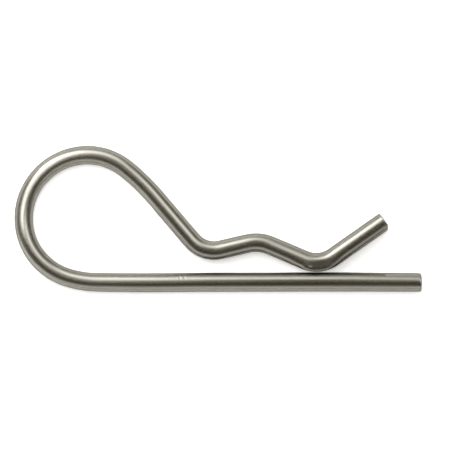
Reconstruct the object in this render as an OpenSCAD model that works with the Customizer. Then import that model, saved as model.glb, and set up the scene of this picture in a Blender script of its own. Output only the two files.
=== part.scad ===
// Hitch R clip pin: one length of round spring wire, bent in one plane.
// The straight leg goes through the cross-hole of a shaft. The bent arm springs
// over the outside of the shaft and holds it under its crest. The open loop is
// the spring, and the finger pull.
//
// Frame: the wire's centreline lies in the plane z = 0. The origin is the centre
// of the shaft that the clip locks: on the straight leg's axis, below the crest.
// +X runs along the straight leg to its cut end, +Y points to the bent arm, and
// +Z is the direction of the shaft.

/* [Wire] */
// Diameter of the spring wire
wire_d = 3.2; // [2.4:0.1:4]
// Chamfer round both sheared ends
end_chamfer = 0.25; // [0.1:0.05:0.6]

/* [Straight leg] */
// From the shaft's centre to the leg's cut end
seat_to_tip = 28.6; // [20:0.1:40]
// From the shaft's centre to where the leg starts to curve into the loop
seat_to_loop = 27.2; // [24:0.1:36]

/* [Loop] */
// Inside diameter of the loop
loop_d = 18.4; // [15:0.1:22]
// Inside radius of the gentle curve between the leg and the loop
lead_in_r = 17.3; // [12:0.1:26]
// How far the wire turns in that gentle curve, in degrees
lead_in_turn = 14; // [6:0.5:24]
// Inside radius of the gentle curve between the loop and the arm
shoulder_r = 35.3; // [20:0.1:50]
// How far the wire turns in that gentle curve, in degrees
shoulder_turn = 12; // [4:0.5:18]

/* [Bent arm] */
// Inside radius of the heel, the arm's first dip towards the leg
heel_r = 3.4; // [2:0.1:5]
// Gap between the heel and the leg
heel_gap = 2.25; // [1.2:0.05:3.5]
// From the heel's centre to the shaft's centre, along the leg
heel_to_seat = 7.2; // [6:0.1:9]
// Inside radius of the crest that sits over the shaft
crest_r = 4.8; // [3:0.1:6]
// Gap between the crest and the leg
crest_gap = 3.6; // [2.8:0.05:4.6]
// Inside radius of the toe, the dip that snaps past the shaft
toe_r = 3.6; // [2:0.1:5]
// Gap between the toe and the leg while the clip is off its shaft
toe_gap = 0.2; // [0.1:0.05:1]
// From the shaft's centre to the toe's centre, along the leg
seat_to_toe = 10.4; // [8.5:0.1:13]
// Angle of the flared tip from the leg, in degrees
flare_angle = 35; // [20:0.5:50]
// Straight length of the flared tip, from the toe's bend to its sheared end
flare_l = 10.85; // [6:0.05:15]
// Height of the slanting face that the shear leaves on the side next to the leg
slant_h = 0.75; // [0.3:0.05:1.2]
// How far that slanting face runs back along the wire
slant_l = 0.5; // [0.2:0.05:1]

/* [Hidden] */
$fn = 48;
wire_r = wire_d / 2;
// How far a cutting block stands past what it cuts
past = 1;
// Lengths, turns in degrees and the terms of a turning matrix are rounded to these steps
feed_step = 0.0001;
turn_step = 0.001;
term_step = 0.000001;
// How far from an angle its turning matrix is looked for, in degrees
turn_reach = 0.005;

// Layout of the bends. A heading is the angle at which the wire runs, from +X
// towards +Y, when it is followed from the leg's cut end to the flared tip. A bend
// is [centre, radius]: the radius is that of the wire's centreline, above zero
// where the wire turns left and below zero where it turns right.
function left_of(heading) = [-sin(heading), cos(heading)];
// The bend of another radius that carries the wire on from this one without a kink
function carry_on(bend, heading, radius) =
    [bend[0] + (radius - bend[1]) * left_of(heading), radius];
// Heading of the straight line that passes two centres, the second one farther to
// its left by `offset`
function line_heading(from, to, offset) =
    let (gap = to - from) atan2(gap.y, gap.x) - asin(offset / norm(gap));
// Heading and length of the straight wire that runs from bend a to bend b
function heading_between(a, b) = line_heading(a[0], b[0], b[1] - a[1]);
function length_between(a, b) = sqrt(norm(b[0] - a[0]) ^ 2 - (b[1] - a[1]) ^ 2);

// The arm's three bends stand over the leg by a wire's diameter and their own gap
heel = [[-heel_to_seat, wire_d + heel_gap + heel_r + wire_r], heel_r + wire_r];
crest = [[0, wire_d + crest_gap - crest_r - wire_r], -crest_r - wire_r];
toe = [[seat_to_toe, wire_d + toe_gap + toe_r + wire_r], toe_r + wire_r];

// The loop is one long turn of three radii: lead-in, loop and shoulder
leg_heading = 180;
loop_in = leg_heading - lead_in_turn;
lead_in = [[-seat_to_loop, lead_in_r + wire_r], -lead_in_r - wire_r];
loop = carry_on(lead_in, loop_in, -loop_d / 2 - wire_r);
shoulder_radius = -shoulder_r - wire_r;
arm_offset = heel[1] - shoulder_radius + (shoulder_radius - loop[1]) * cos(shoulder_turn);
arm_heading = line_heading(loop[0], heel[0], arm_offset);
loop_out = arm_heading + shoulder_turn;
shoulder = carry_on(loop, loop_out, shoulder_radius);
climb_heading = heading_between(heel, crest);
fall_heading = heading_between(crest, toe);

// The wire in order, as [feed] for a straight length and [turn, radius] for a bend
steps = [
    [-lead_in_turn, lead_in[1]],
    [loop_out - loop_in, loop[1]],
    [-shoulder_turn, shoulder[1]],
    [length_between(shoulder, heel)],
    [climb_heading - arm_heading, heel[1]],
    [length_between(heel, crest)],
    [fall_heading - climb_heading, crest[1]],
    [length_between(crest, toe)],
    [flare_angle - fall_heading, toe[1]]
];

function rounded(value, step) = round(value / step) * step;

// Moves its children in a step of few decimals and, inside it, by the small remainder.
// The two together keep every decimal, so that lengths of wire meet face to face.
module moved(by) {
    coarse = [for (value = by) rounded(value, feed_step)];
    translate(coarse) translate(by - coarse) children();
}

// Turns its children about +Z by a matrix of few decimals and, inside it, by the small
// remainder. Of the matrices near the angle it takes the one that keeps lengths best.
module turned(angle) {
    terms = [for (aside = [-turn_reach : turn_reach / 50 : turn_reach])
        [for (term = [cos(angle + aside), sin(angle + aside)]) rounded(term, term_step)]];
    stretch = [for (pair = terms) abs(norm(pair) - 1)];
    best = terms[search(min(stretch), stretch)[0]];
    multmatrix([[best.x, -best.y, 0, 0], [best.y, best.x, 0, 0], [0, 0, 1, 0], [0, 0, 0, 1]])
        rotate([0, 0, angle - atan2(best.y, best.x)]) children();
}

// Straight wire along +X
module straight(length) {
    rotate([0, 90, 0]) cylinder(d = wire_d, h = length);
}

// Straight wire along +X that ends in a sheared and chamfered face
module sheared_wire(length) {
    rotate([0, 90, 0]) rotate_extrude() polygon([
        [0, 0],
        [wire_r, 0],
        [wire_r, length - end_chamfer],
        [wire_r - end_chamfer, length],
        [0, length]
    ]);
}

// A bend that starts along +X, and its children at its far end
module curved(turn, radius) {
    side = radius > 0 ? -90 : 90;
    translate([0, radius, 0]) rotate([0, 0, side])
        rotate_extrude(angle = turn) translate([abs(radius), 0]) circle(d = wire_d);
    moved([radius * sin(turn), radius * (1 - cos(turn)), 0]) turned(turn) children();
}

// Draws the wire from one step onwards, and the children at the end of the last one
module follow(index = 0) {
    if (index == len(steps)) {
        children();
    } else if (len(steps[index]) == 1) {
        feed = rounded(steps[index][0], feed_step);
        straight(feed);
        translate([feed, 0, 0]) follow(index + 1) children();
    } else {
        curved(rounded(steps[index][0], turn_step), rounded(steps[index][1], feed_step))
            follow(index + 1) children();
    }
}

// The flared tip, with the slanting face that the shear leaves next to the leg
module flared_tip() {
    difference() {
        sheared_wire(flare_l);
        translate([flare_l - slant_l, -wire_r, 0]) rotate([0, 0, atan2(slant_h, slant_l)])
            translate([-past, -wire_d, -wire_r - past])
                cube([wire_d + past, wire_d, wire_d + 2 * past]);
    }
}

module r_clip() {
    color("silver") {
        translate([-seat_to_loop, 0, 0]) sheared_wire(seat_to_loop + seat_to_tip);
        translate([-seat_to_loop, 0, 0]) rotate([0, 0, leg_heading]) follow() flared_tip();
    }
}

r_clip();
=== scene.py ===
import math

import bpy
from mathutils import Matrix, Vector


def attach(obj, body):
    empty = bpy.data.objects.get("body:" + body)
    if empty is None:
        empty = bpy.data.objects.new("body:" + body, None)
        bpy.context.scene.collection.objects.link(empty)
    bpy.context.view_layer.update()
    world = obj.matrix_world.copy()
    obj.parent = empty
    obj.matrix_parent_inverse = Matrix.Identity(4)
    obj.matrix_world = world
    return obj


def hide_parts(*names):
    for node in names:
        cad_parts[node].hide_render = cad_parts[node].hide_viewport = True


# Hitch R clip pin: one bent length of drawn spring wire, lying on a pale floor and
# seen from straight above. The wire is swept here with finer rings than the CAD mesh
# has, so that its bright bands run clean, and with the small marks that shearing and
# bending leave on it.

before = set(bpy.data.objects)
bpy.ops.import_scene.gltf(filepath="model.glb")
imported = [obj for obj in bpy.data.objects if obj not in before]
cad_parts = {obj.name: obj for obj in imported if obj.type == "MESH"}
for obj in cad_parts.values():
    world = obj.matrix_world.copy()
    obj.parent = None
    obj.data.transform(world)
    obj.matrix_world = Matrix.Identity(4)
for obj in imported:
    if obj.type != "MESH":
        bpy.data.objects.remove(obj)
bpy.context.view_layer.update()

MM = 0.001

# ---------------------------------------------------------------- the wire's sizes
# The same driving dimensions as the CAD part, in metres and radians.
WIRE_R = 1.6 * MM
SEAT_TO_TIP = 28.6 * MM
SEAT_TO_LOOP = 27.2 * MM
LOOP_R = 10.8 * MM
LEAD_IN_R = 18.9 * MM
LEAD_IN_TURN = math.radians(14)
SHOULDER_R = 36.9 * MM
SHOULDER_TURN = math.radians(12)
HEEL_R = 5.0 * MM
HEEL_GAP = 2.25 * MM
HEEL_TO_SEAT = 7.2 * MM
CREST_R = 6.4 * MM
CREST_GAP = 3.6 * MM
TOE_R = 5.2 * MM
TOE_GAP = 0.2 * MM
SEAT_TO_TOE = 10.4 * MM
FLARE_ANGLE = math.radians(35)
FLARE_L = 10.85 * MM
SLANT_H = 0.75 * MM
SLANT_L = 0.5 * MM

# Mesh fineness: corners round the wire, the spacing of rings along it, and the least
# distance between two rings
ROUND = 112
STRAIGHT_STEP = 0.6 * MM
BEND_STEP = math.radians(2)
MARK_STEP = 0.05 * MM
LEAST_STEP = 0.015 * MM


def left_of(heading):
    """Unit vector to the left of a heading, in the plane of the wire."""
    return Vector((-math.sin(heading), math.cos(heading)))


def ahead(heading):
    """Unit vector along a heading."""
    return Vector((math.cos(heading), math.sin(heading)))


def line_heading(start, end, offset):
    """Heading of the line that passes two centres, the second one farther left."""
    gap = end - start
    return math.atan2(gap.y, gap.x) - math.asin(offset / gap.length)


def wire_runs():
    """The wire from the leg's cut end to the flared tip, as (length, curvature)."""
    stack = 2 * WIRE_R
    heel = Vector((-HEEL_TO_SEAT, stack + HEEL_GAP + HEEL_R))
    crest = Vector((0, stack + CREST_GAP - CREST_R))
    toe = Vector((SEAT_TO_TOE, stack + TOE_GAP + TOE_R))
    loop_in = math.pi - LEAD_IN_TURN
    lead_in = Vector((-SEAT_TO_LOOP, LEAD_IN_R))
    loop = lead_in + (LEAD_IN_R - LOOP_R) * left_of(loop_in)
    arm_offset = HEEL_R + SHOULDER_R - (SHOULDER_R - LOOP_R) * math.cos(SHOULDER_TURN)
    arm = line_heading(loop, heel, arm_offset)
    loop_out = arm + SHOULDER_TURN
    shoulder = loop + (LOOP_R - SHOULDER_R) * left_of(loop_out)
    climb = line_heading(heel, crest, -CREST_R - HEEL_R)
    fall = line_heading(crest, toe, TOE_R + CREST_R)

    def between(a, b, offset):
        return math.sqrt((b - a).length ** 2 - offset ** 2)

    return [
        (SEAT_TO_TIP + SEAT_TO_LOOP, 0),
        (LEAD_IN_R * LEAD_IN_TURN, -1 / LEAD_IN_R),
        (LOOP_R * (loop_in - loop_out), -1 / LOOP_R),
        (SHOULDER_R * SHOULDER_TURN, -1 / SHOULDER_R),
        (between(shoulder, heel, HEEL_R + SHOULDER_R), 0),
        (HEEL_R * (climb - arm), 1 / HEEL_R),
        (between(heel, crest, HEEL_R + CREST_R), 0),
        (CREST_R * (climb - fall), -1 / CREST_R),
        (between(crest, toe, TOE_R + CREST_R), 0),
        (TOE_R * (FLARE_ANGLE - fall), 1 / TOE_R),
        (FLARE_L, 0),
    ]


RUNS = wire_runs()
WIRE_L = sum(length for length, _ in RUNS)
RUN_STARTS = [sum(length for length, _ in RUNS[:i]) for i in range(len(RUNS))]
HEEL_FROM, CREST_FROM, TOE_FROM, FLARE_FROM = (RUN_STARTS[i] for i in (5, 7, 9, 10))

# A bent wire is never quite true, nor quite round: (distance along it, how far it
# strays to the left, how much wider it is to each side), in millimetres
UNTRUE = [
    (0, 0.0, 0.02),
    (15, -0.07, 0.06),
    (35, -0.03, 0.06),
    (48, 0.05, 0.05),
    (62, -0.07, 0.0),
    (71, 0.04, 0.0),
    (84, 0.0, 0.02),
    (95, 0.1, 0.02),
    (108, 0.0, 0.0),
    (125, 0.05, 0.02),
    (160, 0.05, 0.03),
]


def between_knots(knots, at, column):
    """A column of a table of knots, eased from knot to knot: its value and its slope."""
    for low, high in zip(knots, knots[1:]):
        if at <= high[0]:
            break
    span = high[0] - low[0]
    rise = high[column] - low[column]
    share = min(max((at - low[0]) / span, 0.0), 1.0)
    value = low[column] + rise * share ** 2 * (3 - 2 * share)
    slope = rise / span * 6 * share * (1 - share)
    return value, slope


def place(s):
    """Centre and heading of the wire at a length s from the leg's cut end."""
    at = Vector((SEAT_TO_TIP, 0))
    heading = math.pi
    offset, slope = between_knots(UNTRUE, s / MM, 1)
    for length, curvature in RUNS:
        step = min(s, length)
        if curvature:
            turned = heading + step * curvature
            at = at + (left_of(heading) - left_of(turned)) / curvature
            heading = turned
        else:
            at = at + ahead(heading) * step
        s -= step
        if s <= 0:
            break
    at = at + ahead(heading) * s + left_of(heading) * offset * MM
    return at, heading + math.atan(slope)


# Small dents: (distance along the wire, angle round it in degrees, half length, half
# width, depth, lean). The angle is zero on top of the wire and grows towards the left of
# its heading. The lean is how far a dent drifts to that side over its half length.
MARKS = [
    (41.68 * MM, -29, 0.22 * MM, 0.27 * MM, 0.070 * MM, 0.0),
    (40.86 * MM, -29, 0.22 * MM, 0.29 * MM, 0.060 * MM, 0.2),
    (42.24 * MM, -27, 0.14 * MM, 0.20 * MM, 0.018 * MM, 0.0),
    (39.60 * MM, -24, 0.55 * MM, 0.14 * MM, 0.006 * MM, 0.0),
    (HEEL_FROM + 3.10 * MM, -34, 0.45 * MM, 0.22 * MM, 0.014 * MM, 0.3),
    (HEEL_FROM + 3.75 * MM, -29, 0.35 * MM, 0.20 * MM, 0.012 * MM, -0.4),
    (TOE_FROM + 1.13 * MM, -24, 0.30 * MM, 0.15 * MM, 0.050 * MM, 0.4),
    (TOE_FROM - 1.40 * MM, -33, 0.60 * MM, 0.22 * MM, 0.012 * MM, -0.5),
    (TOE_FROM - 0.30 * MM, -42, 0.50 * MM, 0.20 * MM, 0.010 * MM, 0.4),
]


def dent(s, angle):
    """How far the surface is pressed in at a place of the straight wire."""
    depth = 0
    for at, degrees, half_l, half_w, deep, lean in MARKS:
        u = (s - at) / half_l
        aside = angle - math.radians(degrees)
        aside = math.atan2(math.sin(aside), math.cos(aside))
        v = aside * WIRE_R / half_w - lean * u
        q = u * u + v * v
        if q < 1:
            depth += deep * (1 - q) ** 2
    return depth


# The bending die has squared the arm's side next to the leg, most of all at the toe:
# (distance along the wire, power of the section there), where a circle's power is 2
SECTION_POWERS = [
    (HEEL_FROM, 2.0),
    (HEEL_FROM + 2.4 * MM, 2.3),
    (CREST_FROM, 2.15),
    (TOE_FROM - 3.0 * MM, 2.2),
    (TOE_FROM - 0.3 * MM, 2.8),
    (TOE_FROM + 1.5 * MM, 6.5),
    (TOE_FROM + 3.2 * MM, 6.0),
    (FLARE_FROM - 0.2 * MM, 2.7),
    (FLARE_FROM + 1.2 * MM, 2.0),
]


# The blade rolls one corner of the leg's cut end over: its length and depth
ROLLED_L = 0.75 * MM
ROLLED_DEPTH = 0.17 * MM


def surface(s, angle):
    """Radius of the wire at a place along it and an angle round it.

    The side to the right of its heading is the one that the tools press on.
    """
    near = max(0.0, -math.sin(angle))
    radius = WIRE_R
    power = between_knots(SECTION_POWERS, s, 1)[0]
    if near and power > 2:
        radius *= (abs(math.cos(angle)) ** power + near ** power) ** (-1 / power)
    radius += between_knots(UNTRUE, s / MM, 2)[0] * MM * math.sin(angle) ** 2
    if s < ROLLED_L:
        radius -= ROLLED_DEPTH * (1 - s / ROLLED_L) ** 2 * near ** 2
    return radius - dent(s, angle)


# How much wire the rings of each end take up
LEG_CAP = 0.7 * MM
TIP_CAP = 1.1 * MM
# The edge of a sheared end: (distance in from the wall, distance back from the end
# face), as shares of the wire's radius. The faces are domed by a share of it too.
CAP_PROFILE = [
    (0.0, 0.28), (0.0, 0.16), (0.0, 0.085), (0.008, 0.05), (0.022, 0.025),
    (0.045, 0.008), (0.08, 0.0), (0.16, 0.0), (0.3, 0.0), (0.48, 0.0),
    (0.68, 0.0), (0.88, 0.0),
]
LEG_DOME = 0.08
TIP_DOME = 0.03


def ring_places():
    """Where the rings stand along the wire: closer in bends and at marks."""
    places = [0.0]
    for (length, curvature), start in zip(RUNS, RUN_STARTS):
        step = BEND_STEP / abs(curvature) if curvature else STRAIGHT_STEP
        count = max(1, round(length / step))
        places += [start + length * (i + 1) / count for i in range(count)]
    for at, _, half_l, _, _, _ in MARKS:
        count = round(2 * half_l / MARK_STEP)
        places += [at - half_l + 2 * half_l * i / count for i in range(count + 1)]
    places = sorted(p for p in places if LEG_CAP < p < WIRE_L - TIP_CAP)
    following = places[1:] + [WIRE_L]
    return [p for p, q in zip(places, following) if q - p > LEAST_STEP]


def slant_limit(side):
    """How far back of the flared tip's face the shear's slanting face lies."""
    return max(0.0, SLANT_L * (1 - (side + WIRE_R) / SLANT_H))


def sweep():
    """Rings of (distance along the wire, angle round it, radius), end to end."""
    rings = []

    def add_ring(share, at, slanted=False):
        ring = []
        for i in range(ROUND):
            angle = math.pi + 2 * math.pi * i / ROUND
            s = at
            if slanted:
                s -= slant_limit(WIRE_R * share * math.sin(angle))
            ring.append((s, angle, surface(s, angle) * share))
        rings.append(ring)

    for inward, back in reversed(CAP_PROFILE):
        share = 1 - inward
        add_ring(share, (back + LEG_DOME * share ** 2) * WIRE_R)
    for at in ring_places():
        add_ring(1, at)
    for inward, back in CAP_PROFILE:
        share = 1 - inward
        add_ring(share, WIRE_L - (back + TIP_DOME * share ** 2) * WIRE_R, slanted=True)
    return rings


def add_object(name, mesh):
    """An object of this mesh or camera, in the scene."""
    thing = bpy.data.objects.new(name, mesh)
    bpy.context.scene.collection.objects.link(thing)
    return thing


def name_places(mesh, straight, on_rings):
    """Gives each point its place on the wire as if it were straight.

    The material's grain runs by the attribute, and its gloss by the UV map.
    """
    uv = mesh.uv_layers.new(name="round_and_along")
    for poly in mesh.polygons:
        ids = [mesh.loops[k].vertex_index for k in poly.loop_indices]
        columns = [v % ROUND if v < on_rings else None for v in ids]
        wraps = ROUND - 1 in columns and 0 in columns
        for k, v, column in zip(poly.loop_indices, ids, columns):
            if column is None:
                column = min(c for c in columns if c is not None) + 0.5
            elif wraps and column == 0:
                column = ROUND
            uv.data[k].uv = (column / ROUND, straight[v][2] / WIRE_L)
    kept = mesh.attributes.new("straight_wire", "FLOAT_VECTOR", "POINT")
    for item, value in zip(kept.data, straight):
        item.vector = value


def build_wire():
    """The whole wire as one closed mesh: rings, the faces between them, and two ends."""
    rings = sweep()
    points, straight = [], []
    for ring in rings:
        for s, angle, radius in ring:
            centre, heading = place(s)
            side = left_of(heading) * radius * math.sin(angle)
            up = radius * math.cos(angle)
            points.append((centre.x + side.x, centre.y + side.y, up))
            straight.append((radius * math.sin(angle), up, s))
    on_rings = len(points)
    faces = []
    for a in range(0, on_rings - ROUND, ROUND):
        b = a + ROUND
        for i in range(ROUND):
            j = (i + 1) % ROUND
            faces.append((a + i, b + i, b + j, a + j))
    for first, end, order in ((0, 0, 1), (on_rings - ROUND, WIRE_L, -1)):
        mean = Vector((0, 0, 0))
        for point in points[first:first + ROUND]:
            mean += Vector(point) / ROUND
        hub = len(points)
        points.append(tuple(mean))
        straight.append((0, 0, end))
        for i in range(ROUND):
            pair = (first + i, first + (i + 1) % ROUND)
            faces.append((hub,) + pair[::order])
    mesh = bpy.data.meshes.new("spring_wire")
    mesh.from_pydata(points, [], faces)
    name_places(mesh, straight, on_rings)
    mesh.shade_smooth()
    return add_object("r_clip_wire", mesh)


# ---------------------------------------------------------------------- materials
class Nodes:
    """Short calls that add and join shader nodes."""

    def __init__(self, tree):
        self.tree = tree
        tree.nodes.clear()

    def add(self, kind, **settings):
        node = self.tree.nodes.new(kind)
        for name, value in settings.items():
            setattr(node, name, value)
        return node

    def put(self, socket, value):
        if isinstance(value, bpy.types.NodeSocket):
            self.tree.links.new(value, socket)
        else:
            socket.default_value = value

    def math(self, operation, a, b=0.0, clamp=False):
        node = self.add("ShaderNodeMath", operation=operation, use_clamp=clamp)
        self.put(node.inputs[0], a)
        self.put(node.inputs[1], b)
        return node.outputs[0]

    def total(self, *values):
        """The sum of two or more values."""
        result = values[0]
        for value in values[1:]:
            result = self.math("ADD", result, value)
        return result

    def rise(self, value, middle, width):
        """Rises smoothly from 0 to 1 as the value passes the middle."""
        gap = self.math("DIVIDE", self.math("SUBTRACT", middle, value), width)
        return self.math("DIVIDE", 1.0, self.total(self.math("EXPONENT", gap), 1.0))

    def noise(self, vector, scale, detail=2.0):
        """Noise with a scale of its own along each axis, in 1/m."""
        scaled = self.add("ShaderNodeVectorMath", operation="MULTIPLY")
        self.put(scaled.inputs[0], vector)
        self.put(scaled.inputs[1], scale)
        node = self.add("ShaderNodeTexNoise")
        self.put(node.inputs["Vector"], scaled.outputs[0])
        self.put(node.inputs["Scale"], 1.0)
        self.put(node.inputs["Detail"], detail)
        return node.outputs["Fac"]

    def spread(self, value, low, high):
        """Maps noise, which lies mostly between 0.3 and 0.7, to low .. high."""
        node = self.add("ShaderNodeMapRange")
        self.put(node.inputs["Value"], value)
        self.put(node.inputs["From Min"], 0.3)
        self.put(node.inputs["From Max"], 0.7)
        self.put(node.inputs["To Min"], low)
        self.put(node.inputs["To Max"], high)
        return node.outputs[0]

    def end(self, kind, *shaders):
        """Joins one shader, or the sum of two, to the tree's output."""
        surface = shaders[0]
        if len(shaders) == 2:
            both = self.add("ShaderNodeAddShader")
            for socket, shader in zip(both.inputs, shaders):
                self.put(socket, shader.outputs[0])
            surface = both
        out = self.add(kind)
        self.put(out.inputs["Surface"], surface.outputs[0])


def new_material(name):
    """A material, and the short calls for its nodes."""
    material = bpy.data.materials.new(name)
    material.use_nodes = True
    return material, Nodes(material.node_tree)


# The steel's two tones, the tint that cuts down its reflection at a glancing angle as
# painted shade at its rims, and how much duller it gets in patches
STEEL_LIGHT = (0.220, 0.213, 0.187, 1)
STEEL_DARK = (0.208, 0.201, 0.178, 1)
PAINTED_RIM_SHADE = (0.3, 0.3, 0.3, 1)
STEEL_ROUGHNESS = (0.195, 0.213)
# Gloss runs along the wire and is blurred round it
STEEL_ANISOTROPY = 0.98
# Noise scales in 1/m: round the wire twice, and along it
FINE_LINES = (6000, 6000, 60)
BROAD_LINES = (1800, 1800, 15)
DULL_PATCHES = (500, 500, 60)
TONE_PATCHES = (300, 300, 60)
# How much deeper the broad lines are than the fine ones, and how deep those are, in metres
BROAD_SHARE = 1.5
LINE_DEPTH = 0.0000003


def drawn_steel():
    """Drawn spring wire: glossy along its length, blurred round it, painted shade at its rims.
    """
    material, n = new_material("drawn_spring_steel")
    straight = n.add("ShaderNodeAttribute", attribute_name="straight_wire").outputs["Vector"]
    tangent = n.add("ShaderNodeTangent", direction_type="UV_MAP", uv_map="round_and_along")
    shader = n.add("ShaderNodeBsdfPrincipled")
    n.put(shader.inputs["Metallic"], 1.0)
    n.put(shader.inputs["Anisotropic"], STEEL_ANISOTROPY)
    # Painted shade: this tint darkens the wire's reflection at its rims
    n.put(shader.inputs["Specular Tint"], PAINTED_RIM_SHADE)
    n.put(shader.inputs["Tangent"], tangent.outputs[0])

    # Lines of the drawing die: fine ones, and fewer that run a long way
    fine = n.noise(straight, FINE_LINES, 1.0)
    broad = n.noise(straight, BROAD_LINES, 1.0)
    bump = n.add("ShaderNodeBump")
    n.put(bump.inputs["Strength"], 1.0)
    n.put(bump.inputs["Distance"], LINE_DEPTH)
    n.put(bump.inputs["Height"], n.total(fine, n.math("MULTIPLY", broad, BROAD_SHARE)))
    n.put(shader.inputs["Normal"], bump.outputs[0])

    # Handling leaves the wire a little duller in patches
    patches = n.noise(straight, DULL_PATCHES, 1.0)
    n.put(shader.inputs["Roughness"], n.spread(patches, *STEEL_ROUGHNESS))
    tone = n.add("ShaderNodeMix", data_type="RGBA")
    n.put(tone.inputs["Factor"], n.spread(n.noise(straight, TONE_PATCHES), 0.0, 1.0))
    n.put(tone.inputs["A"], STEEL_LIGHT)
    n.put(tone.inputs["B"], STEEL_DARK)
    n.put(shader.inputs["Base Color"], tone.outputs["Result"])
    n.end("ShaderNodeOutputMaterial", shader)
    return material


# ------------------------------------------------------------------------- lights
# The corners of a panel as shares of its half sizes, how far its fading edges go on past
# those, as a share of their softness, and how fast a softness of 1 fades
CORNERS = ((-1, -1), (1, -1), (1, 1), (-1, 1))
EDGE_SHARE = 1.2
EDGE_FADE = 4


def softbox(name, azimuth, polar, distance, half_u, half_v, roll, radiance,
            grade_u, grade_v, soft):
    """A panel that faces the clip, graded across itself, with soft edges.

    Its place is given in degrees, as the azimuth from +X and the polar angle from
    straight above, and its size and distance in metres.
    """
    azimuth, polar, roll = map(math.radians, (azimuth, polar, roll))
    away = Vector((
        math.sin(polar) * math.cos(azimuth),
        math.sin(polar) * math.sin(azimuth),
        math.cos(polar),
    ))
    facing = -away
    along = Vector((1, 0, 0)) - facing * facing.x
    along.normalize()
    across = facing.cross(along)
    u = along * math.cos(roll) + across * math.sin(roll)
    v = facing.cross(u)
    margin = 1 + EDGE_SHARE * soft
    corners = [away * distance + (u * half_u * a + v * half_v * b) * margin for a, b in CORNERS]
    mesh = bpy.data.meshes.new(name)
    mesh.from_pydata(corners, [], [(0, 1, 2, 3)])
    layer = mesh.uv_layers.new(name="panel")
    for loop, (a, b) in zip(layer.data, CORNERS):
        loop.uv = (a * margin, b * margin)
    panel = add_object(name, mesh)
    panel.visible_camera = False
    panel.visible_shadow = False

    material, n = new_material(name)
    parts = n.add("ShaderNodeSeparateXYZ")
    n.put(parts.inputs[0], n.add("ShaderNodeUVMap", uv_map="panel").outputs[0])
    level = radiance
    for axis in (0, 1):
        past = n.math("SUBTRACT", n.math("ABSOLUTE", parts.outputs[axis]), 1.0)
        fade = n.math("EXPONENT", n.math("MULTIPLY", past, EDGE_FADE / soft))
        level = n.math("DIVIDE", level, n.total(fade, 1.0))
    grade = n.total(
        n.math("MULTIPLY", parts.outputs[0], grade_u),
        n.math("MULTIPLY", parts.outputs[1], grade_v),
        1.0,
    )
    level = n.math("MULTIPLY", level, n.math("MAXIMUM", grade, 0.0))
    glow = n.add("ShaderNodeEmission")
    n.put(glow.inputs["Strength"], level)
    n.end("ShaderNodeOutputMaterial", glow, n.add("ShaderNodeBsdfTransparent"))
    mesh.materials.append(material)


# The room's light, where 1 is white. A direction's x, y and z say where it points, and
# a width says how softly a change runs.
FAR_SIDE_Y = 0.98
FAR_SIDE_WIDTH = 0.12
# The two sides are lit less, the one towards -X more than the other, and they fade
# towards the middle by this power
SIDES_POWER = 2.2
SIDE_LIGHT = 0.12
WEST_EXTRA = 0.15
WEST_WIDTH = 0.001
# What is taken off all of it, so that the darkest directions are black, and its level
DARKEST = 0.02
ROOM_LEVEL = 2.2
# The wall stands no higher than a camera near the floor can see
WALL_TOP_Z = 0.075
WALL_WIDTH = 0.004
# A faint brown glow overhead, which shows only in the wire's darkest bands
GLOW_COLOUR = (1, 0.71, 0.12, 1)
GLOW_LEVEL = 0.08
GLOW_WIDTH = 0.02


def room():
    """A pale wall far off, and the faint light above it that the wire mirrors."""
    world = bpy.data.worlds.new("room")
    bpy.context.scene.world = world
    world.use_nodes = True
    n = Nodes(world.node_tree)
    parts = n.add("ShaderNodeSeparateXYZ")
    n.put(parts.inputs[0], n.add("ShaderNodeTexCoord").outputs["Generated"])
    x, y, z = parts.outputs

    far_side = n.rise(y, FAR_SIDE_Y, FAR_SIDE_WIDTH)
    west = n.rise(n.math("MULTIPLY", x, -1), 0.0, WEST_WIDTH)
    side_light = n.total(n.math("MULTIPLY", west, WEST_EXTRA), SIDE_LIGHT)
    sides = n.math("POWER", n.math("ABSOLUTE", x), SIDES_POWER)
    above = n.total(far_side, n.math("MULTIPLY", sides, side_light))
    above = n.math("MAXIMUM", n.math("SUBTRACT", above, DARKEST), 0.0)
    above = n.math("MULTIPLY", above, ROOM_LEVEL)
    wall = n.math("SUBTRACT", 1.0, n.rise(z, WALL_TOP_Z, WALL_WIDTH))
    back = n.add("ShaderNodeBackground")
    n.put(back.inputs["Color"], (1, 1, 1, 1))
    n.put(back.inputs["Strength"], n.math("MAXIMUM", above, wall))
    glow = n.add("ShaderNodeBackground")
    n.put(glow.inputs["Color"], GLOW_COLOUR)
    n.put(glow.inputs["Strength"], n.math("MULTIPLY", n.rise(z, 0.0, GLOW_WIDTH), GLOW_LEVEL))
    n.end("ShaderNodeOutputWorld", back, glow)


# How far the floor reaches, its colour, and how bright it is by itself, where 1 is
# white: the lamps add the rest, and the wire's shadow takes that part away
FLOOR_HALF = 6.0
FLOOR_COLOUR = (0.85, 0.85, 0.85, 1)
FLOOR_GLOW = 0.4


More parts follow.
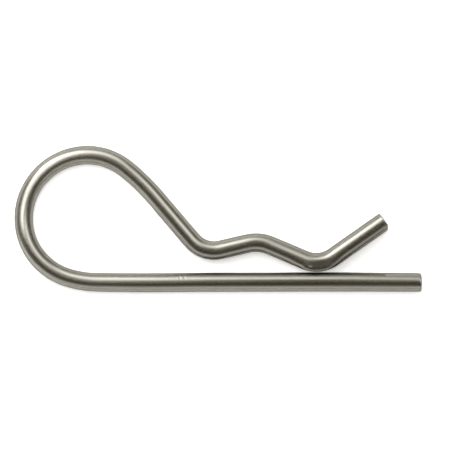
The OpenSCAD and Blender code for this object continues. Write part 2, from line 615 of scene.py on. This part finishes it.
def floor():
    """A pale floor, as white in the wire's mirror image as it is to the camera."""
    mesh = bpy.data.meshes.new("floor")
    corners = [(a * FLOOR_HALF, b * FLOOR_HALF, -WIRE_R) for a, b in CORNERS]
    mesh.from_pydata(corners, [], [(0, 1, 2, 3)])
    piece = add_object("floor", mesh)
    material, n = new_material("white_floor")
    ray = n.add("ShaderNodeLightPath").outputs
    seen = n.total(ray["Is Camera Ray"], ray["Is Glossy Ray"], ray["Is Transmission Ray"])
    glow = n.add("ShaderNodeEmission")
    n.put(glow.inputs["Strength"], n.math("MULTIPLY", seen, FLOOR_GLOW))
    matt = n.add("ShaderNodeBsdfDiffuse")
    n.put(matt.inputs["Color"], FLOOR_COLOUR)
    n.end("ShaderNodeOutputMaterial", glow, matt)
    mesh.materials.append(material)


# ------------------------------------------------------------------------- camera
# The frame is 450 pixels wide. One pixel is 0.17224 mm at the wire's centreline, and
# the shaft's centre lies at pixel (255.889, 282.354).
PIXELS = 450
PIXEL = 0.17224 * MM
SHAFT_PX = (255.889, 282.354)
CAMERA_HEIGHT = 0.6
SENSOR_WIDTH = 36


def camera():
    """Looks straight down, with the shaft's centre at its pixel."""
    data = bpy.data.cameras.new("camera")
    data.sensor_width = SENSOR_WIDTH
    data.lens = SENSOR_WIDTH * CAMERA_HEIGHT / (PIXELS * PIXEL)
    eye = add_object("camera", data)
    middle = PIXELS / 2
    eye.location = (
        (middle - SHAFT_PX[0]) * PIXEL,
        (SHAFT_PX[1] - middle) * PIXEL,
        CAMERA_HEIGHT,
    )
    bpy.context.scene.camera = eye


# ---------------------------------------------------------------------- the scene
wire = build_wire()
wire.data.materials.append(drawn_steel())
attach(wire, "root")
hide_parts("r_clip")

softbox(
    "key_softbox", azimuth=108, polar=28, distance=0.2,
    half_u=0.14, half_v=0.11, roll=-2,
    radiance=2.35, grade_u=-3.6, grade_v=-2.7, soft=0.17,
)
softbox(
    "fill_softbox", azimuth=59, polar=34, distance=1.2,
    half_u=0.25, half_v=0.62, roll=-16,
    radiance=3.4, grade_u=0.13, grade_v=1.0, soft=0.55,
)
softbox(
    "low_strip", azimuth=275, polar=61, distance=0.47,
    half_u=3.2, half_v=0.125, roll=-8,
    radiance=1.7, grade_u=-2.1, grade_v=0.5, soft=0.3,
)
softbox(
    "lens_lamp", azimuth=138, polar=4.7, distance=0.165,
    half_u=0.083, half_v=0.012, roll=5,
    radiance=0.71, grade_u=-1.7, grade_v=-0.4, soft=0.4,
)
softbox(
    "loop_lamp", azimuth=172, polar=14, distance=1.0,
    half_u=0.13, half_v=0.05, roll=0,
    radiance=5.8, grade_u=0.0, grade_v=0.0, soft=0.4,
)
room()
floor()
camera()

bpy.context.scene.view_settings.view_transform = "Standard"
